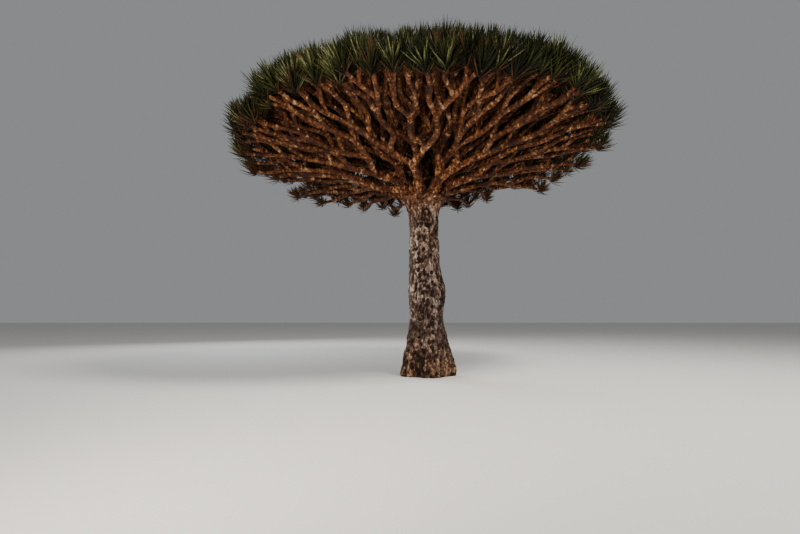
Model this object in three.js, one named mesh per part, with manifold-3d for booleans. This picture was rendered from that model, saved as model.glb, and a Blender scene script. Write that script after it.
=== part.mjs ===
// A dragon blood tree: one straight trunk, boughs that fork in two again and again,
// and an umbrella of stiff leaf tufts at the ends of the twigs.
// Millimetres, +Z up. The origin is the middle of the flat cut at ground level, and the tree is
// described as seen from -Y, with +X to the right.
import * as THREE from 'three';
import { ConvexGeometry } from 'three/addons/geometries/ConvexGeometry.js';
import { mergeVertices } from 'three/addons/utils/BufferGeometryUtils.js';
import Module from 'manifold-3d';

const wasm = await Module();
wasm.setup();

// The trunk: its radius at a height is the taper, the root flare, a swelling and the flare below the fork.
const trunk = {
  height: 2970,          // ground to the widest part of the fork
  headHeight: 110,       // rounded top inside the fork
  baseRadius: 300,       // taper alone, at the ground
  topRadius: 235,        // taper alone, below the fork
  flare: 150,            // root flare added at the ground
  flareHeight: 1000,
  swelling: 45,
  swellingHeight: 1420,
  swellingSpan: 260,
  swellingRight: 0.5,    // how much more it swells to the right than on the whole
  forkFlare: 75,
  forkFlareSpan: 110,
  buttresses: 5,
  buttressDepth: 0.1,
  buttressTurn: 0.8,     // radians
  unevenness: 0.02,      // three shallow ridges that wind up the trunk
  ridgeTurn: 1 / 420,    // radians a millimetre
  lean: -47,             // sideways shift of the fork
  sides: 22,
  rings: 16,
  headRings: 4,
};

// The crown: twig ends lie on a dome of tipRadius, whose rim is rimHeight over the ground.
const crown = {
  seed: 13,
  tips: 896,             // tufts on the real tree; the solids carry one for every four of them
  tipRadius: 3040,
  offsetX: -50,
  offsetY: -50,
  twoLobes: -7,          // how far the outline is from round, in two lobes
  rimHeight: 3690,
  rimRiseRight: 100,     // the rim is higher to the right
  rimRiseBack: -260,     // and lower at the back
  rimSaddle: 65,
  domeHeight: 1030,
  domePower: 3.1,
  clumpLevel: 3,         // limbs whose tufts stand higher or lower together, by up to clumpRise
  clumpRise: 90,
  clumpSeed: 6,
  tipSpread: 0.48,       // under 0.5 crowds the rim a little
  tipJitter: 0.012,      // share of the crown's radius
  firstSector: -1.37,    // bearing of the first sector's edge, in radians
};

// The branching rule. Each level forks every limb in two. Levels 0 and 1 are boughs, and the masses of
// foliage start at level 2.
const branching = {
  primaries: 7,
  rootShare: 0.55,                                  // where boughs start, as a share of the trunk's radius
  rootDrop: 80,                                     // how far below the fork they start
  rootRise: 1.2,                                    // and how steeply they climb at first
  rootFollow: 0.42,                                 // how long they keep to that, as a share of their length
  arch: 130,                                        // how far limbs arch over a straight line
  reach: [0.17, 0.31, 0.44, 0.56, 0.68],            // share of the way from the fork to the twig ends
  radius: [98, 74, 59, 49, 43, 38],                 // at the start of a limb, by level
  endShare: 0.88,                                   // end radius over start radius
  lowRun: 0.75,                                     // how closely a limb keeps to its lowest twig
  follow: 0.25,                                     // how long a later limb keeps its parent's direction
  wander: 0.035,                                    // random shift of a fork, as a share of the limb's length
  lastLevel: 5,
  sides: 8,
  steps: 4,
  forkWidth: 1.15,                                  // corners of a three-sided twig, in limb radii
  forkLift: 0.9,                                    // how far a crotch stands forward, in limb radii
};

// A tuft is a head with a ring of pointed leaves, each of which stands for a spray of the real ones.
const tuft = {
  leaves: 9,
  headRadius: 120,
  headHeight: 240,
  headShare: 0.4,                                   // a head's largest radius, over the way to the next tip
  neck: 110,                                        // from the neck to the head's widest ring
  sunkRoot: 40,                                     // start of a mass inside its limb, before it is cut clear
  leafLength: [520, 470, 390],                      // upright, leaning and spread leaves, in turn
  splay: [0.3, 0.65, 1.1],                          // their lean from the tuft's axis, in radians
  jitter: 0.1,
  outward: 0.35,                                    // how far a tuft turns to the crown's outside
  upward: 0.8,
  shorter: [1, 0.8, 0.62, 0.45],                    // tried in turn where a leaf finds no room
};

const gap = 0.3;         // clearance between neighbouring pieces
const goldenAngle = Math.PI * (3 - Math.sqrt(5));
const up = new THREE.Vector3(0, 0, 1);
const fork = new THREE.Vector3(trunk.lean, 0, trunk.height);

const barkGrey = new THREE.MeshStandardMaterial({ color: 0x6b5a4a, roughness: 0.9, metalness: 0 });
const barkOrange = new THREE.MeshStandardMaterial({ color: 0x8a4f22, roughness: 0.85, metalness: 0 });
const leafGreen = new THREE.MeshStandardMaterial({ color: 0x3c4a22, roughness: 0.6, metalness: 0 });

// A small repeatable random source, 0 to 1.
function randomFrom(seed) {
  let state = seed >>> 0;
  return () => {
    state = (state + 0x6d2b79f5) >>> 0;
    let t = Math.imul(state ^ (state >>> 15), state | 1);
    t = (t + Math.imul(t ^ (t >>> 7), t | 61)) ^ t;
    return ((t ^ (t >>> 14)) >>> 0) / 4294967296;
  };
}

// Geometry to solid and back.

function solidFrom(geometry) {
  const bare = new THREE.BufferGeometry().setAttribute('position', geometry.getAttribute('position'));
  bare.setIndex(geometry.index);
  const merged = mergeVertices(bare, 1e-3);
  return new wasm.Manifold(new wasm.Mesh({
    numProp: 3,
    vertProperties: new Float32Array(merged.attributes.position.array),
    triVerts: new Uint32Array(merged.index.array),
  }));
}

function geometryFrom(solid) {
  const mesh = solid.getMesh();
  const geometry = new THREE.BufferGeometry();
  geometry.setAttribute('position', new THREE.BufferAttribute(new Float32Array(mesh.vertProperties), 3));
  geometry.setIndex(new THREE.BufferAttribute(new Uint32Array(mesh.triVerts), 1));
  geometry.computeVertexNormals();
  return geometry;
}

// The largest of a solid's separate bodies: a cut can leave a loose scrap.
function largest(solid) {
  const bodies = solid.decompose();
  return bodies.reduce((best, body) => (body.volume() > best.volume() ? body : best), bodies[0]);
}

// A cylinder laid along a curve and a little beyond its end, tapering from one radius to the other.
function tube(curve, startRadius, endRadius, sides, steps, beyond) {
  const geometry = new THREE.CylinderGeometry(endRadius, startRadius, 1, sides, steps);
  const places = geometry.getAttribute('position');
  const vertex = new THREE.Vector3();
  const reference = Math.abs(curve.getTangent(0.5).z) > 0.85 ? new THREE.Vector3(1, 0, 0) : up;
  for (let i = 0; i < places.count; i++) {
    vertex.fromBufferAttribute(places, i);
    const along = vertex.y + 0.5;
    const tangent = curve.getTangent(along);
    const side = new THREE.Vector3().crossVectors(tangent, reference).normalize();
    const other = new THREE.Vector3().crossVectors(side, tangent);
    const place = curve.getPoint(along).addScaledVector(side, vertex.x).addScaledVector(other, vertex.z);
    if (along === 1) place.addScaledVector(tangent, beyond);
    places.setXYZ(i, place.x, place.y, place.z);
  }
  return solidFrom(geometry);
}

// The trunk.

function smoothStep(share) {
  const t = Math.min(Math.max(share, 0), 1);
  return t * t * (3 - 2 * t);
}

function trunkRadius(height, angle) {
  const taper = trunk.baseRadius + (trunk.topRadius - trunk.baseRadius) * height / trunk.height;
  const nearRoot = 1 - smoothStep(height / trunk.flareHeight);
  const swelling = trunk.swelling * Math.exp(-(((height - trunk.swellingHeight) / trunk.swellingSpan) ** 2));
  const forkFlare = trunk.forkFlare * Math.exp(-(trunk.height - height) / trunk.forkFlareSpan);
  const sideways = 1 + trunk.swellingRight * Math.cos(angle);
  const lobes = 1 + trunk.buttressDepth * nearRoot * Math.cos(trunk.buttresses * angle + trunk.buttressTurn)
    + trunk.unevenness * Math.sin(3 * angle + trunk.ridgeTurn * height);
  return (taper + trunk.flare * nearRoot + swelling * sideways + forkFlare) * lobes;
}

function trunkSolid(grow) {
  const profile = [new THREE.Vector2(0, 0)];
  for (let i = 0; i <= trunk.rings; i++) {
    profile.push(new THREE.Vector2(1, trunk.height * i / trunk.rings));
  }
  for (let i = 1; i < trunk.headRings; i++) {
    const turn = i / trunk.headRings * Math.PI / 2;
    const height = trunk.height + (trunk.headHeight + grow) * Math.sin(turn);
    profile.push(new THREE.Vector2(Math.cos(turn), height));
  }
  profile.push(new THREE.Vector2(0, trunk.height + trunk.headHeight + grow));
  const geometry = new THREE.LatheGeometry(profile, trunk.sides);
  geometry.rotateX(Math.PI / 2);
  const places = geometry.getAttribute('position');
  for (let i = 0; i < places.count; i++) {
    const height = places.getZ(i);
    const angle = Math.atan2(places.getY(i), places.getX(i));
    const share = Math.hypot(places.getX(i), places.getY(i));
    const radius = share * (trunkRadius(Math.min(height, trunk.height), angle) + grow);
    const shift = trunk.lean * smoothStep(height / trunk.height);
    places.setXYZ(i, shift + radius * Math.cos(angle), radius * Math.sin(angle), height);
  }
  return solidFrom(geometry);
}

// The crown's twig ends, on a sunflower pattern over the dome.

function crownPoint(rho, angle) {
  const radius = crown.tipRadius + crown.twoLobes * Math.cos(2 * angle);
  const rim = crown.rimRiseRight * Math.cos(angle) + crown.rimRiseBack * Math.sin(angle)
    + crown.rimSaddle * Math.cos(2 * angle);
  return new THREE.Vector3(
    trunk.lean + crown.offsetX + radius * rho * Math.cos(angle),
    crown.offsetY + radius * rho * Math.sin(angle),
    crown.rimHeight + rim * rho + crown.domeHeight * (1 - rho ** crown.domePower),
  );
}

function domeNormal(rho, angle) {
  const slope = crown.domeHeight * crown.domePower * rho ** (crown.domePower - 1) / crown.tipRadius;
  return new THREE.Vector3(slope * Math.cos(angle), slope * Math.sin(angle), 1).normalize();
}

function twigEnds() {
  const random = randomFrom(crown.seed);
  const ends = [];
  for (let i = 0; i < crown.tips; i++) {
    const share = ((i + 0.5) / crown.tips) ** crown.tipSpread;
    const rho = Math.min(1, Math.max(0.02, share + crown.tipJitter * (2 * random() - 1)));
    const angle = i * goldenAngle + crown.tipJitter * (2 * random() - 1) / rho;
    ends.push({ place: crownPoint(rho, angle), normal: domeNormal(rho, angle) });
  }
  return ends;
}

// The branching rule: twig ends are shared out by sectors, and each share is halved across its longer way.

function sectorsOf(ends) {
  const turn = 2 * Math.PI;
  const bearing = (end) => {
    const angle = Math.atan2(end.place.y - fork.y, end.place.x - fork.x) - crown.firstSector;
    return ((angle % turn) + turn) % turn;
  };
  const sorted = [...ends].sort((a, b) => bearing(a) - bearing(b));
  const size = crown.tips / branching.primaries;
  return Array.from({ length: branching.primaries }, (_, i) => sorted.slice(i * size, (i + 1) * size));
}

function halves(ends) {
  const count = ends.length;
  const middleX = ends.reduce((sum, end) => sum + end.place.x, 0) / count;
  const middleY = ends.reduce((sum, end) => sum + end.place.y, 0) / count;
  let xx = 0, yy = 0, xy = 0;
  for (const { place } of ends) {
    xx += (place.x - middleX) ** 2;
    yy += (place.y - middleY) ** 2;
    xy += (place.x - middleX) * (place.y - middleY);
  }
  const way = 0.5 * Math.atan2(2 * xy, xx - yy);
  const along = (end) => end.place.x * Math.cos(way) + end.place.y * Math.sin(way);
  const sorted = [...ends].sort((a, b) => along(a) - along(b));
  return [sorted.slice(0, count / 2), sorted.slice(count / 2)];
}

// Where the limb that carries these twig ends finishes. It keeps near the line to its lowest twig end.
function forkPoint(ends, level) {
  const middle = new THREE.Vector3();
  ends.forEach((end) => middle.addScaledVector(end.place, 1 / ends.length));
  const run = (place) => Math.hypot(place.x - fork.x, place.y - fork.y);
  const rise = Math.min(...ends.map(({ place }) => (place.z - fork.z) / run(place)));
  const lowest = fork.z + rise * run(middle);
  middle.z -= branching.lowRun * Math.max(0, middle.z - lowest);
  const reach = level === branching.lastLevel ? 1 : branching.reach[level];
  return middle.sub(fork).multiplyScalar(reach).add(fork)
    .addScaledVector(up, branching.arch * Math.sin(Math.PI * reach));
}

// The same twig ends, moved up or down together.
function clumped(ends, number) {
  const rise = crown.clumpRise * (2 * randomFrom(crown.clumpSeed * 1000 + number)() - 1);
  return ends.map((end) => ({ ...end, place: end.place.clone().addScaledVector(up, rise) }));
}

// A limb and all that grows from it, down to the last level. Limbs are numbered so that the two
// that grow from limb n are 2n and 2n + 1, and each draws its own random numbers.
function grow(given, level, number, from, direction) {
  const ends = level === crown.clumpLevel ? clumped(given, number) : given;
  const to = forkPoint(ends, level);
  const length = from.distanceTo(to);
  if (level < branching.lastLevel) {
    const random = randomFrom(crown.seed * 1000 + number);
    const shift = new THREE.Vector3(2 * random() - 1, 2 * random() - 1, 2 * random() - 1);
    to.addScaledVector(shift, branching.wander * length);
  }
  const follow = level ? branching.follow : branching.rootFollow;
  const bend = from.clone().addScaledVector(direction, follow * length);
  const curve = new THREE.QuadraticBezierCurve3(from, bend, to);
  const limb = {
    curve,
    startRadius: branching.radius[level],
    endRadius: branching.radius[level] * branching.endShare,
    ends,
    children: [],
  };
  if (level < branching.lastLevel) {
    const next = curve.getTangent(1);
    limb.children = halves(ends).map((half, i) => grow(half, level + 1, 2 * number + i, to, next));
  }
  return limb;
}

function boughsOf(ends) {
  return sectorsOf(ends).map((sector, i) => {
    const aim = forkPoint(sector, 0).sub(fork);
    const outward = new THREE.Vector3(aim.x, aim.y, 0).normalize();
    const direction = outward.clone().addScaledVector(up, branching.rootRise).normalize();
    const from = fork.clone()
      .addScaledVector(outward, trunk.topRadius * branching.rootShare)
      .addScaledVector(up, -branching.rootDrop);
    return grow(sector, 0, branching.primaries + i, from, direction);
  });
}

// A bough as a solid, alone or with room left round it to cut its neighbours by.
function limbSolid(limb, room) {
  const { sides, steps } = branching;
  return tube(limb.curve, limb.startRadius + room, limb.endRadius + room, sides, steps, room);
}

// The two limbs of a fork, each on its own side of the plane between them.
function limbPair(bough, room) {
  const start = bough.curve.getPoint(1);
  const [one, other] = bough.children.map((limb) => limb.curve.getPoint(1).sub(start).normalize());
  const normal = one.sub(other).normalize();
  return bough.children.map((limb, i) => {
    const side = normal.clone().multiplyScalar(i ? -1 : 1);
    return limbSolid(limb, room).trimByPlane(side.toArray(), side.dot(start) + gap / 2 - room);
  });
}

// Where a limb forks: three points round its end, the crotch between its two branches,
// and each branch's share of them, which runs anticlockwise as seen from ahead.
function forkCorners(limb) {
  const centre = limb.curve.getPoint(1);
  const ahead = limb.curve.getTangent(1);
  const [one, other] = limb.children;
  const apart = other.curve.getPoint(1).sub(one.curve.getPoint(1));
  const ring = ringAt(centre, ahead, apart, branching.forkWidth * limb.endRadius, 3, Math.PI * 5 / 6);
  const crotch = ring[0].clone().add(ring[2]).multiplyScalar(0.5)
    .addScaledVector(ahead, branching.forkLift * limb.endRadius);
  return { ring, crotch };
}

function ringAt(centre, normal, first, radius, count, turn) {
  const across = first.clone().addScaledVector(normal, -first.dot(normal)).normalize();
  const aside = new THREE.Vector3().crossVectors(normal, across);
  return Array.from({ length: count }, (_, i) => {
    const angle = turn + 2 * Math.PI * i / count;
    return centre.clone()
      .addScaledVector(across, radius * Math.cos(angle))
      .addScaledVector(aside, radius * Math.sin(angle));
  });
}

// Foliage. Every part of a mass is convex: a stretch of three-sided twig, a tuft's head or a leaf.
// Neighbours share a whole face, so that joining them leaves no seam.

// The convex solid round some points, alone or with room left all round it: eight faces round a point
// stand as far off as they do over root three.
function around(points, room = 0) {
  const reach = Math.sqrt(3) * room;
  const arms = [[reach, 0, 0], [0, reach, 0], [0, 0, reach]].map((arm) => new THREE.Vector3(...arm));
  const spread = (point) => arms.flatMap((arm) => [point.clone().add(arm), point.clone().sub(arm)]);
  return boxed(solidFrom(new ConvexGeometry(room ? points.flatMap(spread) : points)));
}

function pieceOf(twig, points) {
  return { twig, points, roomy: around(points, gap) };
}

// The pieces of a twig and of all that it carries, from the three corners that it starts at.
function piecesOf(twig, start) {
  if (!twig.children.length) return tuftOn(twig, start);
  const { ring, crotch } = forkCorners(twig);
  return [
    pieceOf(twig, [...start, ...ring, crotch]),
    ...piecesOf(twig.children[0], [ring[0], ring[1], crotch]),
    ...piecesOf(twig.children[1], [ring[1], ring[2], crotch]),
  ];
}

// The last twig narrows to a neck, and its head widens to a ring and closes to a point.
function tuftOn(twig, start) {
  const centre = twig.curve.getPoint(1);
  const axis = tuftAxis(twig);
  const size = Math.min(1, tuft.headShare * nearestTip(centre) / tuft.headRadius);
  const throat = centre.clone().addScaledVector(axis, -size * tuft.neck);
  const first = start[0].clone().sub(twig.curve.getPoint(0));
  const neck = ringAt(throat, axis, first, twig.endRadius, 3, 0);
  const ring = ringAt(centre, axis, first, size * tuft.headRadius, tuft.leaves, 0);
  const top = centre.clone().addScaledVector(axis, size * tuft.headHeight);
  return [
    pieceOf(twig, [...start, ...neck]),
    { ...pieceOf(twig, [...neck, ...ring, top]), head: { centre, axis, ring, top } },
  ];
}

// The stem that a mass starts with is sunk in its limb, before it is cut clear of it.
function massOn(limb, branch) {
  const { ring, crotch } = forkCorners(limb);
  const start = branch ? [ring[1], ring[2], crotch] : [ring[0], ring[1], crotch];
  const sunk = limb.curve.getPoint(1).addScaledVector(limb.curve.getTangent(1), -tuft.sunkRoot);
  const stem = limb.children[branch];
  return [pieceOf(stem, [sunk, ...start]), ...piecesOf(stem, start)];
}

// The leaves of one tuft, each on a face of its head. One that finds no room at any length is left out.
function leavesOn({ twig, head }, random, isFree) {
  const { centre, axis, ring, top } = head;
  return ring.flatMap((corner, i) => {
    const next = ring[(i + 1) % tuft.leaves];
    const root = corner.clone().add(next).multiplyScalar(0.5);
    const outward = root.clone().sub(centre).normalize();
    const kind = i % tuft.splay.length;
    const splay = tuft.splay[kind] + tuft.jitter * (2 * random() - 1);
    const direction = axis.clone().multiplyScalar(Math.cos(splay)).addScaledVector(outward, Math.sin(splay));
    const leaf = tuft.shorter
      .map((share) => root.clone().addScaledVector(direction, share * tuft.leafLength[kind]))
      .map((tip) => ({ twig, points: [corner, next, top, tip] }))
      .find(isFree);
    return leaf ? [leaf] : [];
  });
}

function tipsOf(limb) {
  return limb.children.length ? limb.children.flatMap(tipsOf) : [limb.curve.getPoint(1)];
}

function nearestTip(place) {
  return Math.min(...tips.map((tip) => tip.distanceTo(place)).filter((distance) => distance > 1));
}

function tuftAxis(limb) {
  const normal = new THREE.Vector3();
  limb.ends.forEach((end) => normal.add(end.normal));
  return limb.curve.getTangent(1)
    .addScaledVector(normal.normalize(), tuft.outward)
    .addScaledVector(up, tuft.upward)
    .normalize();
}

// Solids are compared with their boxes at hand.

function boxed(solid) {
  return { solid, box: solid.boundingBox() };
}

function boxesMeet(a, b) {
  return a.box.min.every((low, i) => low <= b.box.max[i] && b.box.min[i] <= a.box.max[i]);
}

function meet(a, b) {
  return boxesMeet(a, b) && !a.solid.intersect(b.solid).isEmpty();
}

// The solid less every grown neighbour that it meets.
function clearOf(solid, neighbours) {
  const own = boxed(solid);
  const cut = neighbours
    .filter((other) => boxesMeet(own, other))
    .reduce((left, other) => left.subtract(other.solid), solid);
  return largest(cut);
}

// Assembly.

const tree = new THREE.Group();
const taken = [];        // grown solids of what is already in place

function place(name, solid, material) {
  const mesh = new THREE.Mesh(geometryFrom(solid), material);
  mesh.name = name;
  tree.add(mesh);
}

place('trunk', trunkSolid(0), barkGrey);
taken.push(boxed(trunkSolid(gap)));

const boughs = boughsOf(twigEnds());
const tips = boughs.flatMap(tipsOf);
const masses = [];
boughs.forEach((bough, i) => {
  place(`bough_${i + 1}`, clearOf(limbSolid(bough, 0), taken), barkOrange);
  taken.push(boxed(limbSolid(bough, gap)));
});
boughs.forEach((bough, i) => {
  const solids = limbPair(bough, 0);
  const roomy = limbPair(bough, gap);
  bough.children.forEach((limb, j) => {
    const name = `${i + 1}${'ab'[j]}`;
    place(`limb_${name}`, clearOf(solids[j], taken), barkOrange);
    taken.push(boxed(roomy[j]));
    limb.children.forEach((_, branch) => {
      masses.push({ name: `foliage_${name}${branch + 1}`, pieces: massOn(limb, branch) });
    });
  });
});

// All twigs are set out before the first leaf, so that each leaf can look for room among them.
const random = randomFrom(crown.seed + 1);
const roomTaken = masses.flatMap((mass) => mass.pieces);
const isFree = (leaf) => {
  const body = around(leaf.points);
  if (taken.some((limb) => meet(body, limb))) return false;
  if (roomTaken.some((other) => other.twig !== leaf.twig && meet(body, other.roomy))) return false;
  roomTaken.push({ ...leaf, roomy: around(leaf.points, gap) });
  return true;
};
const earlier = [];
masses.forEach(({ name, pieces }) => {
  const leaves = pieces.filter((piece) => piece.head).flatMap((piece) => leavesOn(piece, random, isFree));
  const whole = wasm.Manifold.union([...pieces, ...leaves].map(({ points }) => around(points).solid));
  place(name, clearOf(whole, [...taken, ...earlier]), leafGreen);
  earlier.push(...pieces.map((piece) => piece.roomy));
});

export default tree;
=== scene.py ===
import math

import bmesh
import bpy
import numpy as np
from mathutils import Matrix, Vector, noise


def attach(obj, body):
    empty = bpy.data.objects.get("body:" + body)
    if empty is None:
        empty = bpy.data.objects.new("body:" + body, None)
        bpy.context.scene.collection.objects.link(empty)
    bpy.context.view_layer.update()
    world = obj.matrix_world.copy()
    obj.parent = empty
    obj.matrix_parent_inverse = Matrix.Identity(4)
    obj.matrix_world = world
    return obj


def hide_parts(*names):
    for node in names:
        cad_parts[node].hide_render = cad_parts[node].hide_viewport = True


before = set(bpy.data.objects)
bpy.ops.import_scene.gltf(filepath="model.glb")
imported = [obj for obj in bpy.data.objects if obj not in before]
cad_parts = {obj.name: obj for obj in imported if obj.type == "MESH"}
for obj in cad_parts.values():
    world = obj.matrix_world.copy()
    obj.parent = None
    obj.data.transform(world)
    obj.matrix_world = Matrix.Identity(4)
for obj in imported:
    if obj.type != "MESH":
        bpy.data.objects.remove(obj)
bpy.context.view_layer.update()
nodeNames = sorted(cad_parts)

# The tree's own sizes, the same as the solids'

trunk = {
    "height": 2.97,  # ground to the widest part of the fork
    "headHeight": 0.11,
    "baseRadius": 0.3,
    "topRadius": 0.235,
    "flare": 0.15,
    "flareHeight": 1.0,
    "swelling": 0.045,
    "swellingHeight": 1.42,
    "swellingSpan": 0.26,
    "swellingRight": 0.5,
    "forkFlare": 0.075,
    "forkFlareSpan": 0.11,
    "buttresses": 5,
    "buttressDepth": 0.1,
    "buttressTurn": 0.8,
    "unevenness": 0.02,
    "ridgeTurn": 1 / 0.42,
    "lean": -0.047,
}

crown = {
    "seed": 13,
    "tips": 896,  # one tuft of leaves each
    "tipRadius": 3.04,
    "offsetX": -0.05,
    "offsetY": -0.05,
    "twoLobes": -0.007,
    "rimHeight": 3.69,
    "rimRiseRight": 0.1,
    "rimRiseBack": -0.26,
    "rimSaddle": 0.065,
    "domeHeight": 1.03,
    "domePower": 3.1,
    "clumpLevel": 3,  # limbs whose tufts stand higher or lower together
    "clumpRise": 0.09,
    "clumpSeed": 6,
    "tuftLevel": 6,  # from here on each twig also rises or falls on its own
    "tuftRise": 0.06,
    "tipSpread": 0.48,
    "tipJitter": 0.012,
    "firstSector": -1.37,  # bearing of the first sector's edge
}

branching = {
    "primaries": 7,
    "rootShare": 0.55,
    "rootDrop": 0.08,  # boughs start this far below the fork
    "rootRise": 1.2,  # and climb this steeply at first
    "rootFollow": 0.42,
    "arch": 0.13,  # how far limbs arch over the straight line to the twig ends
    "reach": [0.17, 0.31, 0.44, 0.56, 0.68, 0.8, 0.9, 1],  # share of the way to the twig ends, by level
    "radius": [0.098, 0.074, 0.059, 0.049, 0.043, 0.038, 0.035, 0.032],
    "endShare": 0.88,
    "lowRun": 0.75,
    "follow": 0.25,
    "wander": 0.035,
    "lastLevel": 7,  # two finer than the solids
}

goldenAngle = math.pi * (3 - math.sqrt(5))
forkPlace = np.array([trunk["lean"], 0, trunk["height"]])


def randomFrom(seed):
    # the solids' repeatable random source, 0 to 1
    state = seed & 0xFFFFFFFF

    def draw():
        nonlocal state
        state = (state + 0x6D2B79F5) & 0xFFFFFFFF
        t = ((state ^ (state >> 15)) * (state | 1)) & 0xFFFFFFFF
        t = ((t + (t ^ (t >> 7)) * (t | 61)) & 0xFFFFFFFF) ^ t
        return (t ^ (t >> 14)) / 4294967296

    return draw


def smoothStep(share):
    t = min(max(share, 0), 1)
    return t * t * (3 - 2 * t)


def unit(vector):
    return vector / np.linalg.norm(vector, axis=-1, keepdims=True)


def trunkRadius(height, angle):
    taper = trunk["baseRadius"] + (trunk["topRadius"] - trunk["baseRadius"]) * height / trunk["height"]
    nearRoot = 1 - smoothStep(height / trunk["flareHeight"])
    fromSwelling = (height - trunk["swellingHeight"]) / trunk["swellingSpan"]
    swelling = trunk["swelling"] * math.exp(-(fromSwelling**2))
    forkFlare = trunk["forkFlare"] * math.exp(-(trunk["height"] - height) / trunk["forkFlareSpan"])
    sideways = 1 + trunk["swellingRight"] * math.cos(angle)
    buttress = math.cos(trunk["buttresses"] * angle + trunk["buttressTurn"])
    buttress = trunk["buttressDepth"] * nearRoot * buttress
    lobes = 1 + buttress + trunk["unevenness"] * math.sin(3 * angle + trunk["ridgeTurn"] * height)
    return (taper + trunk["flare"] * nearRoot + swelling * sideways + forkFlare) * lobes


# The crown: twig ends on a dome, shared out among the boughs and halved at every fork


def twigEnds():
    draw = randomFrom(crown["seed"])
    places = []
    normals = []
    for i in range(crown["tips"]):
        share = ((i + 0.5) / crown["tips"]) ** crown["tipSpread"]
        rho = min(1, max(0.02, share + crown["tipJitter"] * (2 * draw() - 1)))
        angle = i * goldenAngle + crown["tipJitter"] * (2 * draw() - 1) / rho
        across = math.cos(angle)
        back = math.sin(angle)
        lobes = math.cos(2 * angle)
        radius = (crown["tipRadius"] + crown["twoLobes"] * lobes) * rho
        rim = crown["rimRiseRight"] * across + crown["rimRiseBack"] * back + crown["rimSaddle"] * lobes
        rise = crown["domeHeight"] * (1 - rho ** crown["domePower"])
        places.append((
            trunk["lean"] + crown["offsetX"] + radius * across,
            crown["offsetY"] + radius * back,
            crown["rimHeight"] + rim * rho + rise,
        ))
        slope = crown["domeHeight"] * crown["domePower"] * rho ** (crown["domePower"] - 1)
        slope = slope / crown["tipRadius"]
        normals.append((slope * across, slope * back, 1))
    return np.array(places), unit(np.array(normals))


def sectorsOf(places):
    bearing = np.arctan2(places[:, 1] - forkPlace[1], places[:, 0] - forkPlace[0]) - crown["firstSector"]
    order = np.argsort(bearing % (2 * math.pi), kind="stable")
    return np.split(order, branching["primaries"])


def halvesOf(places, ends):
    flat = places[ends, :2] - places[ends, :2].mean(0)
    xx, yy = (flat**2).sum(0)
    way = 0.5 * math.atan2(2 * (flat[:, 0] * flat[:, 1]).sum(), xx - yy)
    along = places[ends, 0] * math.cos(way) + places[ends, 1] * math.sin(way)
    return np.split(ends[np.argsort(along, kind="stable")], 2)


def forkPoint(places, ends, level):
    # where the limb that carries these twig ends finishes
    middle = places[ends].mean(0)
    run = np.hypot(places[ends, 0] - forkPlace[0], places[ends, 1] - forkPlace[1])
    rise = ((places[ends, 2] - forkPlace[2]) / run).min()
    lowest = forkPlace[2] + rise * math.hypot(middle[0] - forkPlace[0], middle[1] - forkPlace[1])
    middle[2] -= branching["lowRun"] * max(0, middle[2] - lowest)
    reach = 1 if level == branching["lastLevel"] else branching["reach"][level]
    arch = branching["arch"] * math.sin(math.pi * reach)
    return forkPlace + reach * (middle - forkPlace) + np.array([0, 0, arch])


def growLimb(places, ends, level, number, start, direction, limbs):
    rise = 0
    if level == crown["clumpLevel"]:
        rise = crown["clumpRise"]
    elif level >= crown["tuftLevel"]:
        rise = crown["tuftRise"]
    places[ends, 2] += rise * (2 * randomFrom(crown["clumpSeed"] * 1000 + number)() - 1)
    end = forkPoint(places, ends, level)
    length = np.linalg.norm(end - start)
    if level < branching["lastLevel"]:
        draw = randomFrom(crown["seed"] * 1000 + number)
        shift = np.array([2 * draw() - 1, 2 * draw() - 1, 2 * draw() - 1])
        end = end + branching["wander"] * length * shift
    follow = branching["follow"] if level else branching["rootFollow"]
    bend = start + follow * length * direction
    limbs.append({
        "level": level,
        "points": (start, bend, end),
        "radius": branching["radius"][level],
        "length": length,
        "ends": ends,
    })
    if level < branching["lastLevel"]:
        onward = unit(end - bend)
        for i, half in enumerate(halvesOf(places, ends)):
            growLimb(places, half, level + 1, 2 * number + i, end, onward, limbs)


def growTree():
    places, normals = twigEnds()
    limbs = []
    for i, sector in enumerate(sectorsOf(places)):
        aim = forkPoint(places, sector, 0) - forkPlace
        outward = unit(np.array([aim[0], aim[1], 0]))
        direction = unit(outward + np.array([0, 0, branching["rootRise"]]))
        start = forkPlace + trunk["topRadius"] * branching["rootShare"] * outward
        start[2] -= branching["rootDrop"]
        growLimb(places, sector, 0, branching["primaries"] + i, start, direction, limbs)
    return limbs, normals


def pointAlong(limb, share):
    start, bend, end = limb["points"]
    return (1 - share) ** 2 * start + 2 * share * (1 - share) * bend + share**2 * end


def wayAlong(limb, share):
    start, bend, end = limb["points"]
    return unit((1 - share) * (bend - start) + share * (end - bend))


limbs, endNormals = growTree()
print(f"tree grown: {len(limbs)} limbs, {crown['tips']} twig ends")

# Shader groups, each used by more than one finish


def addNode(tree, kind, **settings):
    node = tree.nodes.new(kind)
    for name, value in settings.items():
        setattr(node, name, value)
    return node


def newGroup(name, inputs, outputs):
    group = bpy.data.node_groups.new(name, "ShaderNodeTree")
    for label, kind in inputs:
        group.interface.new_socket(name=label, in_out="INPUT", socket_type=kind)
    for label, kind in outputs:
        group.interface.new_socket(name=label, in_out="OUTPUT", socket_type=kind)
    return group, group.nodes.new("NodeGroupInput"), group.nodes.new("NodeGroupOutput")


def ramp(tree, source, stops):
    node = tree.nodes.new("ShaderNodeValToRGB")
    elements = node.color_ramp.elements
    while len(elements) < len(stops):
        elements.new(0.5)
    for element, (place, colour) in zip(elements, stops):
        element.position = place
        element.color = (*colour, 1)
    tree.links.new(source, node.inputs["Fac"])
    return node.outputs["Color"]


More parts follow.
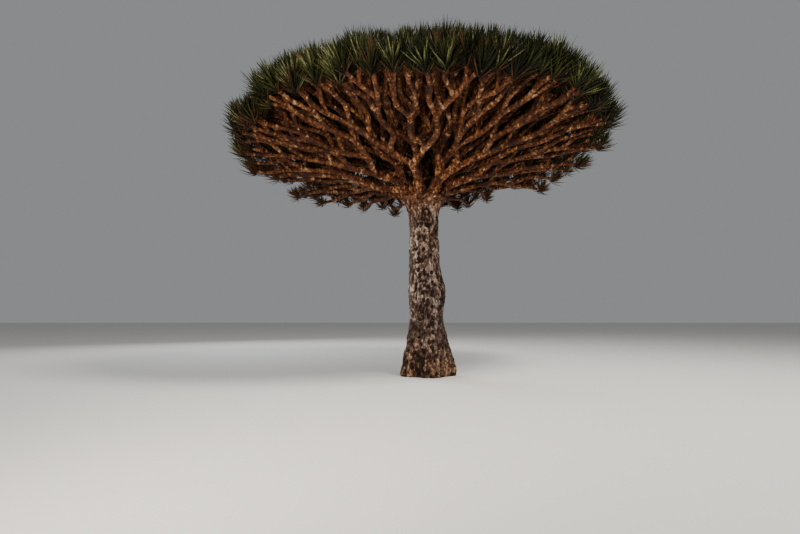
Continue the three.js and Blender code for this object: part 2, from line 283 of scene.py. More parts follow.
def mathNode(tree, operation, first, second=0.0, clamp=False):
    node = addNode(tree, "ShaderNodeMath", operation=operation, use_clamp=clamp)
    for socket, value in zip(node.inputs, (first, second)):
        if isinstance(value, (int, float)):
            socket.default_value = value
        else:
            tree.links.new(value, socket)
    return node.outputs[0]


def mixColour(tree, share, first, second, blend="MIX"):
    node = addNode(tree, "ShaderNodeMix", data_type="RGBA", blend_type=blend)
    for socket, value in ((node.inputs[0], share), (node.inputs[6], first), (node.inputs[7], second)):
        if isinstance(value, (int, float)):
            socket.default_value = value
        elif isinstance(value, tuple):
            socket.default_value = (*value, 1)
        else:
            tree.links.new(value, socket)
    return node.outputs[2]


def noiseNode(tree, vector, scale, detail=3.0, roughness=0.6, distortion=0.0):
    node = tree.nodes.new("ShaderNodeTexNoise")
    tree.links.new(vector, node.inputs["Vector"])
    node.inputs["Scale"].default_value = scale
    node.inputs["Detail"].default_value = detail
    node.inputs["Roughness"].default_value = roughness
    node.inputs["Distortion"].default_value = distortion
    return node.outputs[0]


barkColours = {
    # painted shade: the near-black of the pits, cracks, scale gaps and hollows
    "painted_crevice_shade": (0.01, 0.004, 0.002),
    "greyDark": (0.024, 0.009, 0.004),
    "greyMiddle": (0.1, 0.058, 0.038),
    "greyPale": (0.27, 0.195, 0.155),
    "pale": (0.74, 0.61, 0.5),
    "footTint": (0.46, 0.32, 0.24),
    "lowTint": (0.53, 0.52, 0.54),
    "middleTint": (0.96, 0.97, 1),
    "ochre": (0.4, 0.25, 0.13),
    "rustDark": (0.013, 0.002, 0.001),
    "rustMiddle": (0.075, 0.017, 0.004),
    "rustPale": (0.25, 0.092, 0.022),
    # painted glint: highlight specks on the rust bark
    "painted_glint": (0.6, 0.42, 0.27),
}


def barkGroup():
    # grey bark below and rust-coloured bark above, with patches and scales, painted shade in the crevices
    # and painted highlights
    group, given, put = newGroup(
        "barkSurface",
        [
            ("Position", "NodeSocketVector"),
            ("Painted_shade", "NodeSocketFloat"),
            ("Turn", "NodeSocketFloat"),
            ("Painted_highlight", "NodeSocketFloat"),
        ],
        [("Color", "NodeSocketColor"), ("Roughness", "NodeSocketFloat"), ("Height", "NodeSocketFloat")],
    )
    position = given.outputs["Position"]
    stretch = addNode(group, "ShaderNodeMapping")
    stretch.inputs["Scale"].default_value = (1, 1, 0.55)
    group.links.new(position, stretch.inputs["Vector"])
    upright = stretch.outputs[0]
    patches = noiseNode(group, upright, 5, 4, 0.65, 0.6)
    flecks = noiseNode(group, upright, 24, 3, 0.6, 0.8)
    grain = noiseNode(group, position, 75, 3, 0.7)
    scales = addNode(group, "ShaderNodeTexVoronoi", feature="DISTANCE_TO_EDGE")
    scales.inputs["Scale"].default_value = 17
    group.links.new(upright, scales.inputs["Vector"])
    gaps = ramp(group, scales.outputs["Distance"], [(0.0, (0, 0, 0)), (0.16, (1, 1, 1))])

    mixed = mathNode(group, "ADD", mathNode(group, "MULTIPLY", patches, 0.45),
                     mathNode(group, "MULTIPLY", flecks, 0.55))
    colours = barkColours
    grey = ramp(group, mixed, [
        (0.4, colours["greyDark"]),
        (0.475, colours["greyMiddle"]),
        (0.55, colours["greyPale"]),
        (0.65, colours["pale"]),
    ])
    # the rust ramp's palest stop is painted glint
    rust = ramp(group, mixed, [
        (0.41, colours["rustDark"]),
        (0.485, colours["rustMiddle"]),
        (0.565, colours["rustPale"]),
        (0.65, colours["painted_glint"]),
    ])
    apart = group.nodes.new("ShaderNodeSeparateXYZ")
    group.links.new(position, apart.inputs[0])
    height = mathNode(group, "MULTIPLY", apart.outputs["Z"], 1 / 3)
    uneven = mathNode(group, "ADD", height, mathNode(group, "MULTIPLY", patches, 0.2))
    # darker towards the bottom of the trunk and browner at the foot
    tint = ramp(group, uneven, [
        (0.16, colours["footTint"]),
        (0.4, colours["lowTint"]),
        (0.62, colours["middleTint"]),
        (0.85, (1, 1, 1)),
    ])
    tinted = mixColour(group, 1.0, grey, tint, "MULTIPLY")
    nearGround = mathNode(group, "SUBTRACT", mixed, mathNode(group, "MULTIPLY", height, 0.6))
    crust = ramp(group, nearGround, [(0.46, (0, 0, 0)), (0.58, (0.6, 0.6, 0.6))])
    brown = mixColour(group, crust, tinted, colours["ochre"])
    plain = mixColour(group, given.outputs["Turn"], brown, rust)
    # painted highlight: pale where the streak and the knot's lip are lightened
    base = mixColour(group, given.outputs["Painted_highlight"], plain, colours["pale"])
    # painted shade along the gaps between the bark's scales
    lined = mixColour(group, mathNode(group, "MULTIPLY", mathNode(group, "SUBTRACT", 1.0, gaps), 0.45),
                      base, colours["painted_crevice_shade"])
    # painted shade in the pits, cracks, low scales, fold and knot, read from the mesh's shade attribute
    deep = mixColour(group, given.outputs["Painted_shade"], lined, colours["painted_crevice_shade"])
    speckle = ramp(group, grain, [(0.3, (0.62, 0.62, 0.62)), (0.7, (1.25, 1.25, 1.25))])
    group.links.new(mixColour(group, 0.8, deep, speckle, "MULTIPLY"), put.inputs["Color"])
    rough = mathNode(group, "ADD", mathNode(group, "MULTIPLY", flecks, 0.35), 0.62, True)
    group.links.new(rough, put.inputs["Roughness"])
    fine = mathNode(group, "ADD", mathNode(group, "MULTIPLY", grain, 0.35),
                    mathNode(group, "MULTIPLY", flecks, 0.5))
    raised = mathNode(group, "ADD", fine, mathNode(group, "MULTIPLY", gaps, 0.35))
    group.links.new(raised, put.inputs["Height"])
    return group


barkSurface = barkGroup()


def barkMaterial(name, bump):
    material = bpy.data.materials.new(name)
    material.use_nodes = True
    tree = material.node_tree
    shader = tree.nodes["Principled BSDF"]
    surface = addNode(tree, "ShaderNodeGroup", node_tree=barkSurface)
    place = tree.nodes.new("ShaderNodeTexCoord")
    tree.links.new(place.outputs["Object"], surface.inputs["Position"])
    for label in ("Painted_shade", "Turn", "Painted_highlight"):
        mask = addNode(tree, "ShaderNodeAttribute", attribute_name=label.lower())
        tree.links.new(mask.outputs["Fac"], surface.inputs[label])
    relief = tree.nodes.new("ShaderNodeBump")
    relief.inputs["Distance"].default_value = bump
    tree.links.new(surface.outputs["Height"], relief.inputs["Height"])
    tree.links.new(surface.outputs["Color"], shader.inputs["Base Color"])
    tree.links.new(surface.outputs["Roughness"], shader.inputs["Roughness"])
    tree.links.new(relief.outputs[0], shader.inputs["Normal"])
    shader.inputs["Specular IOR Level"].default_value = 0.2
    return material


def finishPiece(piece, slot, material, *nodes):
    piece.data.materials.clear()
    piece.data.materials.append(material)
    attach(piece, "root")
    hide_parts(*nodes)
    triangles = sum(len(face.vertices) - 2 for face in piece.data.polygons)
    print(f"{piece.name}: {triangles} triangles")


def newPiece(name, mesh):
    piece = bpy.data.objects.new(name, mesh)
    bpy.context.scene.collection.objects.link(piece)
    return piece


# Trunk and thick limbs: swept, melted into one skin, then given the bark's relief

bark = {
    "voxel": 0.012,
    "soften": 9,  # smoothing rounds over the joints
    "cutHeight": 2.8,  # trunk below, boughs above
    "lumps": 0.014,  # these four are depths
    "furrows": 0.014,
    "pits": 0.034,
    "scales": 0.007,
    "lumpScale": (5, 3.4),  # and these how many to a metre, across and up
    "furrowScale": (9, 3.2),
    "pitScale": (12, 10),
    "scaleScale": (27, 17),
    "pitSize": 0.46,  # share of the way to the next pit
    "footHeight": 0.9,  # deeper furrows below
    "foldShadeHeight": 1.4,  # painted shade of a fold round the right of the swelling
    "foldShadeSpan": 0.11,
    "bump": 0.012,  # the finish's own relief, beyond the mesh's
    "turnHeight": 2.74,  # grey turns to rust
    "turnSpan": 0.75,
    "thickLevels": 3,  # limb levels that are melted into the skin
    "rootSwell": 0.42,  # extra thickness where a bough leaves the fork
    "forkWeb": 0.1,  # bark that fills the corners between the boughs and the trunk
    "forkWebSpan": 0.12,
}


def turnedTrunk(melted):
    # the trunk on a lathe, then pushed out to its flare, swelling and fork
    profile = [(0, 0)]
    profile += [(1, trunk["height"] * i / 60) for i in range(61)]
    for i in range(1, 6):
        turn = i / 6 * math.pi / 2
        profile.append((math.cos(turn), trunk["height"] + trunk["headHeight"] * math.sin(turn)))
    profile.append((0, trunk["height"] + trunk["headHeight"]))
    verts = [melted.verts.new((x, 0, z)) for x, z in profile]
    edges = [melted.edges.new(pair) for pair in zip(verts, verts[1:])]
    bmesh.ops.spin(melted, geom=verts + edges, cent=(0, 0, 0), axis=(0, 0, 1), steps=72,
                   angle=2 * math.pi, use_merge=True)
    bmesh.ops.remove_doubles(melted, verts=melted.verts, dist=1e-5)
    for vert in melted.verts:
        height = vert.co.z
        angle = math.atan2(vert.co.y, vert.co.x)
        below = max(0, trunk["height"] - height)
        web = bark["forkWeb"] * math.exp(-below / bark["forkWebSpan"])
        radius = math.hypot(vert.co.x, vert.co.y) * (trunkRadius(trunk["height"] - below, angle) + web)
        shift = trunk["lean"] * smoothStep(height / trunk["height"])
        vert.co = (shift + radius * math.cos(angle), radius * math.sin(angle), height)


def ringMatrix(limb, share, radius, beyond=0.0):
    way = wayAlong(limb, share)
    aside = unit(np.cross(way, (1, 0, 0) if abs(way[2]) > 0.85 else (0, 0, 1)))
    other = np.cross(aside, way)
    place = pointAlong(limb, share) + beyond * way
    matrix = Matrix.Identity(4)
    for column, axis in enumerate((aside * radius, -other * radius, way * radius, place)):
        for row in range(3):
            matrix[row][column] = axis[row]
    return matrix


def sweptLimb(melted, limb, sides=14):
    steps = max(6, int(limb["length"] / 0.05))
    thick = limb["radius"]
    stations = [(0, thick, -0.6 * thick)]
    for i in range(steps + 1):
        share = i / steps
        swell = 1 + 0.14 * math.exp(-(((1 - share) * limb["length"] / 0.07) ** 2))
        if limb["level"] == 0:
            swell += bark["rootSwell"] * math.exp(-share * limb["length"] / 0.2)
        stations.append((share, thick * (1 + (branching["endShare"] - 1) * share) * swell, 0))
    last = stations[-1][1]
    stations += [(1, last * 0.86, 0.5 * last), (1, last * 0.5, 0.85 * last)]
    before = ringMatrix(limb, *stations[0])
    ring = bmesh.ops.create_circle(melted, cap_ends=True, radius=1, segments=sides, matrix=before)["verts"]
    edges = list({edge for vert in ring for edge in vert.link_edges})
    for station in stations[1:]:
        after = ringMatrix(limb, *station)
        grown = bmesh.ops.extrude_edge_only(melted, edges=edges)["geom"]
        ring = [item for item in grown if isinstance(item, bmesh.types.BMVert)]
        fresh = set(ring)
        edges = [item for item in grown if isinstance(item, bmesh.types.BMEdge) and set(item.verts) <= fresh]
        bmesh.ops.transform(melted, matrix=after @ before.inverted(), verts=ring)
        before = after
    bmesh.ops.contextual_create(melted, geom=edges)


def meltedSkin():
    melted = bmesh.new()
    turnedTrunk(melted)
    for limb in limbs:
        if limb["level"] < bark["thickLevels"]:
            sweptLimb(melted, limb)
    bmesh.ops.recalc_face_normals(melted, faces=melted.faces)
    mesh = bpy.data.meshes.new("skin")
    melted.to_mesh(mesh)
    melted.free()
    skin = newPiece("skin", mesh)
    remesh = skin.modifiers.new("melt", "REMESH")
    remesh.mode = "VOXEL"
    remesh.voxel_size = bark["voxel"]
    soften = skin.modifiers.new("soften", "SMOOTH")
    soften.factor = 0.5
    soften.iterations = bark["soften"]
    shown = skin.evaluated_get(bpy.context.evaluated_depsgraph_get())
    result = bpy.data.meshes.new_from_object(shown)
    bpy.data.objects.remove(skin)
    return result


def barkRelief(place):
    # how far the bark stands out here, how much painted shade it gets and how rust-coloured
    x, y, z = place
    wobble = noise.noise(Vector((x * 2.2, y * 2.2, z * 2.2 + 7)))
    turn = smoothStep((z + 0.22 * wobble - bark["turnHeight"]) / bark["turnSpan"] + 0.5)
    across, up = bark["lumpScale"]
    lumps = noise.fractal(Vector((x * across, y * across, z * up)), 1.0, 2.0, 3) * bark["lumps"]
    across, up = bark["furrowScale"]
    furrow = noise.ridged_multi_fractal(Vector((x * across, y * across, z * up)), 0.9, 2.1, 3, 1.0, 2.0)
    foot = 1 - smoothStep(z / bark["footHeight"])
    furrows = (furrow - 1.1) * bark["furrows"] * (0.6 + 1.4 * foot) * (1 - 0.5 * turn)
    ragged = noise.noise(Vector((x * 21 + 5, y * 21, z * 21)))
    across, up = bark["pitScale"]
    distances, _ = noise.voronoi(Vector((x * across + 0.3 * wobble, y * across, z * up + 11)))
    chance = noise.noise(Vector((x * 4 + 31, y * 4, z * 4)))
    pit = smoothStep((bark["pitSize"] + 0.14 * chance + 0.16 * ragged - distances[0]) / 0.15)
    pit = pit * (1 - 0.35 * turn)
    across, up = bark["scaleScale"]
    scale = noise.noise(Vector((x * across, y * across, z * up + 3)))
    crack = smoothStep((0.75 + 0.25 * foot - furrow) / 0.5)
    # painted shade only: the mesh is not moved for the fold
    fold = math.exp(-(((z - bark["foldShadeHeight"] + 0.35 * x + 0.3 * wobble) / bark["foldShadeSpan"]) ** 2))
    fold *= smoothStep((x + 0.14 + 0.3 * ragged) / 0.2) * smoothStep(0.6 + 1.4 * ragged)
    # painted shade for the pits, the furrows' cracks, the low scales and the fold
    shades = (pit, 0.75 * crack * (1 - 0.4 * turn), 0.7 * smoothStep((-0.15 - scale) / 0.3), 0.85 * fold)
    return lumps + furrows + scale * bark["scales"] - pit * bark["pits"], max(shades), turn


knot = {
    "hole": (0.027, 2.5),  # across and up
    "holeRadius": 0.056,
    "eye": (-0.034, 2.68),
    "eyeRadius": 0.03,
    "archCentre": (0.0, 2.6),
    "archSize": (0.1, 0.165),
    "archWidth": 0.16,  # share of its size
    "depth": 0.036,
    "ragged": 0.03,
}

highlight_streak = {
    "across": -0.187,  # painted highlight streaked down the trunk's left front
    "width": 0.03,
    "wander": 0.03,
    "bottom": 1.2,
    "top": 2.5,
    "paleness": 0.75,
}


def streak_highlight(place):
    # how strong the painted highlight streak is here
    x, y, z = place
    if y > 0 or not highlight_streak["bottom"] < z < highlight_streak["top"]:
        return 0.0
    aside = (x - highlight_streak["across"] + highlight_streak["wander"] * noise.noise(Vector((3, 5, z * 3)))) / highlight_streak["width"]
    broken = smoothStep((noise.noise(Vector((x * 30, 2, z * 12))) + 0.02) / 0.2)
    return highlight_streak["paleness"] * math.exp(-(aside**2)) * broken


def knotRelief(place):
    # the healed wound under the fork, an arched fold with a hole above and one below; painted shade darkens
    # the hole, the eye and the fold, and a painted highlight lightens the lip's right side
    x, y, z = place
    if y > -0.05:
        return 0.0, 0.0, 0.0
    x += knot["ragged"] * noise.noise(Vector((x * 14, y * 5, z * 14)))
    z += knot["ragged"] * noise.noise(Vector((x * 14 + 9, y * 5, z * 14)))
    hole = math.hypot(x - knot["hole"][0], z - knot["hole"][1]) / knot["holeRadius"]
    eye = math.hypot(x - knot["eye"][0], z - knot["eye"][1]) / knot["eyeRadius"]
    across = (x - knot["archCentre"][0]) / knot["archSize"][0]
    above = (z - knot["archCentre"][1]) / knot["archSize"][1]
    ring = (math.hypot(across, above) - 1) / knot["archWidth"]
    upper = smoothStep(above + 0.9)
    fold = math.exp(-(ring**2)) * upper
    lip = math.exp(-((ring - 1.7) ** 2)) * upper
    rim = math.exp(-((2 * hole - 2.9) ** 2))
    sunk = min(1, math.exp(-(hole**4)) + 0.7 * math.exp(-(eye**4)) + 0.8 * fold)
    raised = 0.6 * lip + 0.5 * rim
    # painted highlight on the lip's right side; the returned shade is painted shade in the hole, the eye and
    # the fold
    lit = 0.38 * lip * smoothStep(1.2 * across) * (1 - sunk)
    return knot["depth"] * (raised - 1.6 * sunk), min(1, 1.6 * sunk), lit


def carvedSkin(mesh):
    count = len(mesh.vertices)
    co = np.empty(count * 3, np.float32)
    normals = np.empty(count * 3, np.float32)
    mesh.vertices.foreach_get("co", co)
    mesh.vertices.foreach_get("normal", normals)
    co = co.reshape(-1, 3)
    normals = normals.reshape(-1, 3)
    painted_shade = np.zeros(count, np.float32)
    turn = np.zeros(count, np.float32)
    painted_highlight = np.zeros(count, np.float32)
    shift = np.zeros(count, np.float32)
    for i in range(count):
        place = co[i]
        shift[i], painted_shade[i], turn[i] = barkRelief(place)
        # painted highlight streak, none where there is painted shade
        painted_highlight[i] = streak_highlight(place) * (1 - painted_shade[i])
        if 2.3 < place[2] < 2.9:
            # the knot's painted shade and painted highlight
            fold, shade, lit = knotRelief(place)
            shift[i] += fold
            painted_shade[i] = max(painted_shade[i] * (1 - lit), shade)
            painted_highlight[i] = max(painted_highlight[i], lit)
    aboveGround = np.clip(co[:, 2] / 0.03, 0, 1)
    moved = co + normals * (shift * aboveGround)[:, None] * np.array([1, 1, 0.6], np.float32)
    moved[:, 2] = np.maximum(moved[:, 2], 0)
    mesh.vertices.foreach_set("co", moved.ravel())
    for name, values in (("painted_shade", painted_shade), ("turn", turn), ("painted_highlight", painted_highlight)):
        mesh.attributes.new(name, "FLOAT", "POINT").data.foreach_set("value", values)
    mesh.update()


def cutSkin(mesh, name, keepBelow):
    part = bmesh.new()
    part.from_mesh(mesh)
    everything = part.verts[:] + part.edges[:] + part.faces[:]
    cut = bmesh.ops.bisect_plane(part, geom=everything, plane_co=(0, 0, bark["cutHeight"]),
                                 plane_no=(0, 0, 1), clear_outer=keepBelow, clear_inner=not keepBelow)
    rim = [item for item in cut["geom_cut"] if isinstance(item, bmesh.types.BMEdge)]
    lids = bmesh.ops.edgeloop_fill(part, edges=rim)["faces"]
    for face in part.faces:
        face.smooth = True
    for face in lids:
        face.smooth = False
        for edge in face.edges:
            edge.smooth = False
    bmesh.ops.recalc_face_normals(part, faces=part.faces)
    bmesh.ops.triangulate(part, faces=part.faces)
    result = bpy.data.meshes.new(name)
    part.to_mesh(result)
    part.free()
    return newPiece(name, result)


skinMesh = meltedSkin()
print(f"skin melted: {len(skinMesh.vertices)} points")
carvedSkin(skinMesh)
trunkBark = cutSkin(skinMesh, "trunk_bark", True)
boughBark = cutSkin(skinMesh, "bough_bark", False)
boughNodes = [name for name in nodeNames if name.startswith(("bough", "limb"))]
foliageNodes = [name for name in nodeNames if name.startswith("foliage")]
finishPiece(trunkBark, "bark_grey", barkMaterial("trunkFinish", bark["bump"]), "trunk")
finishPiece(boughBark, "bark_orange", barkMaterial("boughFinish", bark["bump"]), *boughNodes)

# Twigs: every finer limb as a ringed tube, joined from arrays

twigs = {
    "sides": 8,
    "spacing": 0.032,  # between rings
    "ringLength": 0.085,  # from one growth ring to the next
    "ringDepth": 0.055,
    "ringShade": 0.75,
    "forkSwell": 0.16,
    "knobbly": 0.05,
    "bump": 0.01,
    "seed": 5,
    "pieces": {"twigs_thick": (3, 4, 5), "twigs_middle": (6,), "twigs_fine": (7,)},  # limb levels in each
}


def meshFromArrays(name, points, triangles, smooth):
    mesh = bpy.data.meshes.new(name)
    mesh.vertices.add(len(points))
    mesh.vertices.foreach_set("co", np.asarray(points, np.float32).ravel())
    mesh.loops.add(triangles.size)
    mesh.loops.foreach_set("vertex_index", triangles.astype(np.int32).ravel())
    mesh.polygons.add(len(triangles))
    mesh.polygons.foreach_set("loop_start", np.arange(0, triangles.size, 3, dtype=np.int32))
    mesh.polygons.foreach_set("use_smooth", np.full(len(triangles), smooth))
    mesh.update(calc_edges=True)
    mesh.validate()
    return mesh


def twigShape(limb, draw):
    # rings of points along a limb, closed by a point at each end
    sides = twigs["sides"]
    count = max(5, round(limb["length"] / twigs["spacing"]))
    shares = np.linspace(0, 1, count + 1)
    start, bend, end = limb["points"]
    part = shares[:, None]
    centres = (1 - part) ** 2 * start + 2 * part * (1 - part) * bend + part**2 * end
    ways = unit((1 - part) * (bend - start) + part * (end - bend))
    away = shares * limb["length"]
    growth = np.sin(2 * math.pi * (away / twigs["ringLength"] + draw.random()))
    swell = np.exp(-(((1 - shares) * limb["length"] / 0.05) ** 2))
    radius = limb["radius"] * (1 + (branching["endShare"] - 1) * shares)
    radius = radius * (1 + twigs["ringDepth"] * growth + twigs["forkSwell"] * swell)
    first = radius[0]
    last = radius[-1]
    centres = np.vstack([centres[0] - 0.5 * first * ways[0], centres,
                         centres[-1] + 0.5 * last * ways[-1], centres[-1] + 0.82 * last * ways[-1]])
    ways = np.vstack([ways[0], ways, ways[-1], ways[-1]])
    radius = np.concatenate([[first * 0.8], radius, [last * 0.84, last * 0.5]])
    upright = abs(ways[len(ways) // 2][2]) > 0.85
    aside = unit(np.cross(ways, (1, 0, 0) if upright else (0, 0, 1)))
    other = np.cross(ways, aside)
    turn = 2 * math.pi * np.arange(sides) / sides
    knobs = 1 + twigs["knobbly"] * draw.uniform(-1, 1, (len(radius), sides))
    spokes = aside[:, None] * np.cos(turn)[None, :, None] + other[:, None] * np.sin(turn)[None, :, None]
    rings = centres[:, None] + spokes * (radius[:, None] * knobs)[..., None]
    foot = centres[0] - 0.1 * first * ways[0]
    tip = centres[-1] + 0.2 * last * ways[-1]
    points = np.vstack([rings.reshape(-1, 3), foot, tip])
    rows = np.arange(len(radius) - 1)[:, None] * sides
    here = np.arange(sides)[None, :]
    after = (here + 1) % sides
    a, b = rows + here, rows + after
    c, d = b + sides, a + sides
    walls = np.concatenate([np.stack([a, b, c], -1).reshape(-1, 3), np.stack([a, c, d], -1).reshape(-1, 3)])
    bottom = np.full(sides, len(points) - 2)
    top = np.full(sides, len(points) - 1)
    lastRow = (len(radius) - 1) * sides
    caps = np.vstack([
        np.stack([here[0], bottom, after[0]], -1),
        np.stack([lastRow + here[0], lastRow + after[0], top], -1),
    ])
    # painted shade in the ring grooves, with random darker and paler blotches
    dark = np.concatenate([[0.5], 0.5 - 0.5 * growth, [0.5, 0.5]])[:, None]
    dark = dark + draw.uniform(-0.45, 0.35, knobs.shape)
    painted_shade = np.concatenate([(twigs["ringShade"] * np.clip(dark, 0, 1)).ravel(), [0, 0]])
    return points, np.vstack([walls, caps]), painted_shade


def twigPiece(name, levels):
    draw = np.random.default_rng(twigs["seed"])
    points = []
    triangles = []
    painted_shades = []
    total = 0
    for limb in limbs:
        if limb["level"] not in levels:
            continue
        shape, faces, painted_shade = twigShape(limb, draw)
        points.append(shape)
        triangles.append(faces + total)
        painted_shades.append(painted_shade)
        total += len(shape)
    points = np.vstack(points)
    mesh = meshFromArrays(name, points, np.vstack(triangles), True)
    for label, values in (("painted_shade", np.concatenate(painted_shades)), ("turn", np.ones(total))):
        mesh.attributes.new(label, "FLOAT", "POINT").data.foreach_set("value", values.astype(np.float32))
    return newPiece(name, mesh)


twigFinish = barkMaterial("twigFinish", twigs["bump"])
for name, levels in twigs["pieces"].items():
    finishPiece(twigPiece(name, levels), "bark_orange", twigFinish, *foliageNodes)

# Leaves: stiff swords in tufts at the twig ends, tints dealt out by spray, joined tint by tint

leaves = {
    "perTuft": 60,
    "length": 0.34,
    "width": 0.025,
    "keel": 0.004,  # how far the blade's spine stands out below
    "gutter": 0.003,  # how far its edges turn up
    "innerLean": 0.08,  # radians from the tuft's axis
    "outerLean": 1.0,
    "leanPower": 0.75,
    "headLength": 0.15,
    "outward": 0.25,
    "upward": 1.3,
    "askew": 0.1,
    "droop": -0.12,  # below 0 the outer leaves curve back up
    "dryTop": 3.95,  # tufts lower than this have shorter leaves and more russet ones
    "drySpan": 0.5,
    "dryShare": 0.05,  # outermost leaves of any tuft that are russet
    "russetShareLow": 0.65,  # and as many more in the lowest, partly drier leaves and partly painted warm bounce light and shade
    "dryShort": 0.2,
    "sprays": 5,  # bunches of one tint in a tuft
    "stations": [0, 0.45],
    "widths": [0.65, 1],
    "seed": 14,
}

# each tint's shade colour is painted shade for the leaf bases, also used for its dark streaks
leafTints = {
    "deep": {"share": 0.3, "colour": (0.0075, 0.0095, 0.0018), "shade": (0.0016, 0.002, 0.0004)},
    "green": {"share": 0.32, "colour": (0.016, 0.021, 0.0035), "shade": (0.0033, 0.0042, 0.0008)},
    "olive": {"share": 0.22, "colour": (0.048, 0.055, 0.011), "shade": (0.0084, 0.0096, 0.0017)},
    "light": {"share": 0.09, "colour": (0.175, 0.19, 0.07), "shade": (0.029, 0.032, 0.011)},
    "russet": {"share": 0.06, "colour": (0.08, 0.036, 0.011), "shade": (0.016, 0.0065, 0.002)},
}


def leafGroup():
    group, given, put = newGroup(
        "leaf_streaks_and_shade",
        [("Position", "NodeSocketVector"), ("Along", "NodeSocketFloat")],
        [("Streaks", "NodeSocketFloat"), ("Lit", "NodeSocketFloat"), ("Roughness", "NodeSocketFloat")],
    )
    streaks = noiseNode(group, given.outputs["Position"], 42, 3, 0.65)
    wide = ramp(group, streaks, [(0.35, (0, 0, 0)), (0.65, (1, 1, 1))])
    group.links.new(wide, put.inputs["Streaks"])
    # Lit: painted shade darkening each leaf towards its base, times the random streaks
    fromBase = ramp(group, given.outputs["Along"], [(0.05, (0.08, 0.08, 0.08)), (0.7, (1, 1, 1))])
    group.links.new(mathNode(group, "MULTIPLY", fromBase, wide), put.inputs["Lit"])
    rough = mathNode(group, "ADD", mathNode(group, "MULTIPLY", streaks, 0.3), 0.45, True)
    group.links.new(rough, put.inputs["Roughness"])
    return group


leaf_streaks_and_shade = leafGroup()


def leafMaterial(name, tint):
    material = bpy.data.materials.new(name)
    material.use_nodes = True
    tree = material.node_tree
    shader = tree.nodes["Principled BSDF"]
    surface = addNode(tree, "ShaderNodeGroup", node_tree=leaf_streaks_and_shade)
    place = tree.nodes.new("ShaderNodeTexCoord")
    tree.links.new(place.outputs["Object"], surface.inputs["Position"])
    along = addNode(tree, "ShaderNodeAttribute", attribute_name="along")
    tree.links.new(along.outputs["Fac"], surface.inputs["Along"])
    # painted shade near the leaf base, random tone in the streaks, the tint's own colour elsewhere
    colour = mixColour(tree, surface.outputs["Lit"], tint["shade"], tint["colour"])
    tree.links.new(colour, shader.inputs["Base Color"])
    tree.links.new(surface.outputs["Roughness"], shader.inputs["Roughness"])
    relief = tree.nodes.new("ShaderNodeBump")
    relief.inputs["Distance"].default_value = 0.002
    tree.links.new(surface.outputs["Streaks"], relief.inputs["Height"])
    tree.links.new(relief.outputs[0], shader.inputs["Normal"])
    shader.inputs["Specular IOR Level"].default_value = 0.12
    return material


def tuftLeaves(limb, age, draw):
    # every leaf of one tuft, as points (leaf, point, xyz)
    count = leaves["perTuft"]
    way = wayAlong(limb, 1)
    axis = way + leaves["outward"] * endNormals[limb["ends"][0]]
    axis = unit(axis + leaves["upward"] * np.array([0, 0, 1]))
    axis = unit(axis + draw.normal(0, leaves["askew"], 3))
    aside = unit(np.cross(axis, (0.3, 0.9, 0.2)))
    other = np.cross(axis, aside)
    share = (np.arange(count) + 0.5) / count
    lean = leaves["innerLean"] + (leaves["outerLean"] - leaves["innerLean"]) * share ** leaves["leanPower"]
    lean = lean + draw.normal(0, 0.09, count)
    turn = np.arange(count) * goldenAngle + draw.uniform(0, 2 * math.pi) + draw.normal(0, 0.12, count)
    spoke = aside * np.cos(turn)[:, None] + other * np.sin(turn)[:, None]
    aim = axis * np.cos(lean)[:, None] + spoke * np.sin(lean)[:, None]
    across = unit(np.cross(axis, spoke))
    above = np.cross(aim, across)
    length = leaves["length"] * (0.78 + 0.3 * np.sin(math.pi * (0.15 + 0.75 * share)))
    length = length * draw.uniform(0.75, 1.14, count) * draw.uniform(0.86, 1.08)
    length = length * (1 - leaves["dryShort"] * age)
    width = leaves["width"] * draw.uniform(0.8, 1.15, count)
    root = pointAlong(limb, 1) + axis * (leaves["headLength"] * (0.4 - share))[:, None]
    root = root + spoke * (0.6 * limb["radius"] * np.sqrt(share))[:, None]
    droop = leaves["droop"] * length * (share - 0.15)
    shapes = []
    for station, wide in zip(leaves["stations"], leaves["widths"]):
        centre = root + aim * (station * length)[:, None] - above * (droop * station**2)[:, None]
        edge = across * (0.5 * wide * width)[:, None]
        raised = above * (leaves["gutter"] * wide)
        shapes += [centre - edge + raised, centre + edge + raised, centre - above * (leaves["keel"] * wide)]
    shapes.append(root + aim * length[:, None] - above * droop[:, None])
    return np.stack(shapes, 1)


def leafFaces():
    # one leaf's triangles: three-cornered rings, closed at the root and drawn to a point
    rings = len(leaves["stations"])
    faces = [(0, 1, 2)]
    for ring in range(rings - 1):
        for i in range(3):
            a = 3 * ring + i
            b = 3 * ring + (i + 1) % 3
            faces += [(a, a + 3, b), (b, a + 3, b + 3)]
    last = 3 * (rings - 1)
    faces += [(last + i, 3 * rings, last + (i + 1) % 3) for i in range(3)]
    return np.array(faces)


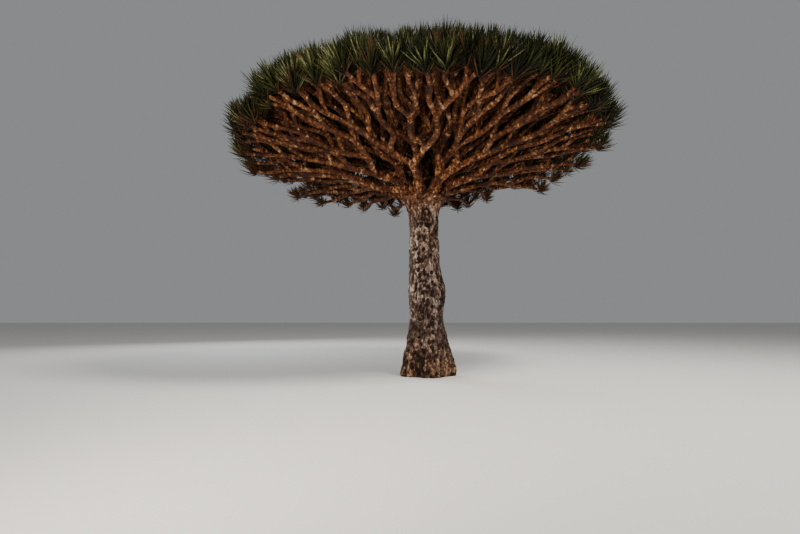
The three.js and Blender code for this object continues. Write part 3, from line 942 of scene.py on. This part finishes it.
def leafPieces():
    draw = np.random.default_rng(leaves["seed"])
    tints = list(leafTints)
    shares = np.array([leafTints[tint]["share"] for tint in tints])
    sprays = {tint: [] for tint in tints}
    for limb in limbs:
        if limb["level"] == branching["lastLevel"]:
            age = smoothStep((leaves["dryTop"] - limb["points"][2][2]) / leaves["drySpan"])
            tuft = tuftLeaves(limb, age, draw)
            # the lowest tufts' extra russet leaves: drier leaves, and painted warm bounce light and shade on
            # the crown's underside
            fresh = round(len(tuft) * (1 - leaves["dryShare"] - leaves["russetShareLow"] * age))
            for spray in range(leaves["sprays"]):
                tint = draw.choice(tints, p=shares / shares.sum())
                sprays[tint].append(tuft[spray:fresh:leaves["sprays"]])
            sprays["russet"].append(tuft[fresh:])
    oneLeaf = leafFaces()
    for tint, tufts in sprays.items():
        shapes = np.concatenate(tufts)
        count, corners = shapes.shape[:2]
        faces = (oneLeaf[None] + (np.arange(count) * corners)[:, None, None]).reshape(-1, 3)
        mesh = meshFromArrays("leaves_" + tint, shapes.reshape(-1, 3), faces, False)
        along = np.tile(np.append(np.repeat(leaves["stations"], 3), 1), count).astype(np.float32)
        mesh.attributes.new("along", "FLOAT", "POINT").data.foreach_set("value", along)
        piece = newPiece("leaves_" + tint, mesh)
        finishPiece(piece, "leaves", leafMaterial(tint + "Leaf", leafTints[tint]), *foliageNodes)


leafPieces()

# Floor, light and camera

studio = {
    "floorColour": (0.72, 0.7, 0.67),
    "skyColour": (0.86, 0.88, 0.9),
    "skyStrength": 0.3,
}

softLights = {
    "keyLight": {
        "place": (5, -7, 11),
        "target": (0, 0, 3.4),
        "size": 3,
        "spread": 180,  # degrees
        "power": 2400,
        "colour": (1, 0.96, 0.9),
    },
    "underLight": {  # as if from bright ground, under the crown
        "place": (-2.6, -8.7, 1.3),
        "target": (0, 0, 3.2),
        "size": 2,
        "spread": 100,
        "power": 265,
        "colour": (1, 0.89, 0.77),
    },
    "backLight": {
        "place": (-6, 9, 8),
        "target": (0, 0, 3.4),
        "size": 5,
        "spread": 180,
        "power": 900,
        "colour": (0.95, 0.97, 1),
    },
}

camera = {
    "place": (-0.451, -9.0, 1.0),
    "pitch": 5.16,  # degrees above level
    "lens": 23.9,  # millimetres on a 36 mm sensor
}


def buildFloor():
    ground = bmesh.new()
    bmesh.ops.create_grid(ground, x_segments=1, y_segments=1, size=60)
    mesh = bpy.data.meshes.new("floor")
    ground.to_mesh(mesh)
    ground.free()
    floor = newPiece("floor", mesh)
    material = bpy.data.materials.new("floorFinish")
    material.use_nodes = True
    shader = material.node_tree.nodes["Principled BSDF"]
    shader.inputs["Base Color"].default_value = (*studio["floorColour"], 1)
    shader.inputs["Roughness"].default_value = 0.9
    mesh.materials.append(material)


def addSoftLight(name, place, target, size, spread, power, colour):
    light = bpy.data.lights.new(name, "AREA")
    light.size = size
    light.spread = math.radians(spread)
    light.energy = power
    light.color = colour
    lamp = bpy.data.objects.new(name, light)
    lamp.location = place
    lamp.rotation_euler = (Vector(target) - Vector(place)).to_track_quat("-Z", "Y").to_euler()
    bpy.context.scene.collection.objects.link(lamp)


def buildStudio():
    world = bpy.data.worlds.new("studio")
    world.use_nodes = True
    background = world.node_tree.nodes["Background"]
    background.inputs["Color"].default_value = (*studio["skyColour"], 1)
    background.inputs["Strength"].default_value = studio["skyStrength"]
    bpy.context.scene.world = world
    for name, settings in softLights.items():
        addSoftLight(name, **settings)


def buildCamera():
    lens = bpy.data.cameras.new("camera")
    lens.lens = camera["lens"]
    lens.sensor_width = 36
    lens.clip_end = 200
    viewer = bpy.data.objects.new("camera", lens)
    viewer.location = camera["place"]
    viewer.rotation_euler = (math.radians(90 + camera["pitch"]), 0, 0)
    bpy.context.scene.collection.objects.link(viewer)
    bpy.context.scene.camera = viewer


buildFloor()
buildStudio()
buildCamera()
print("studio ready")
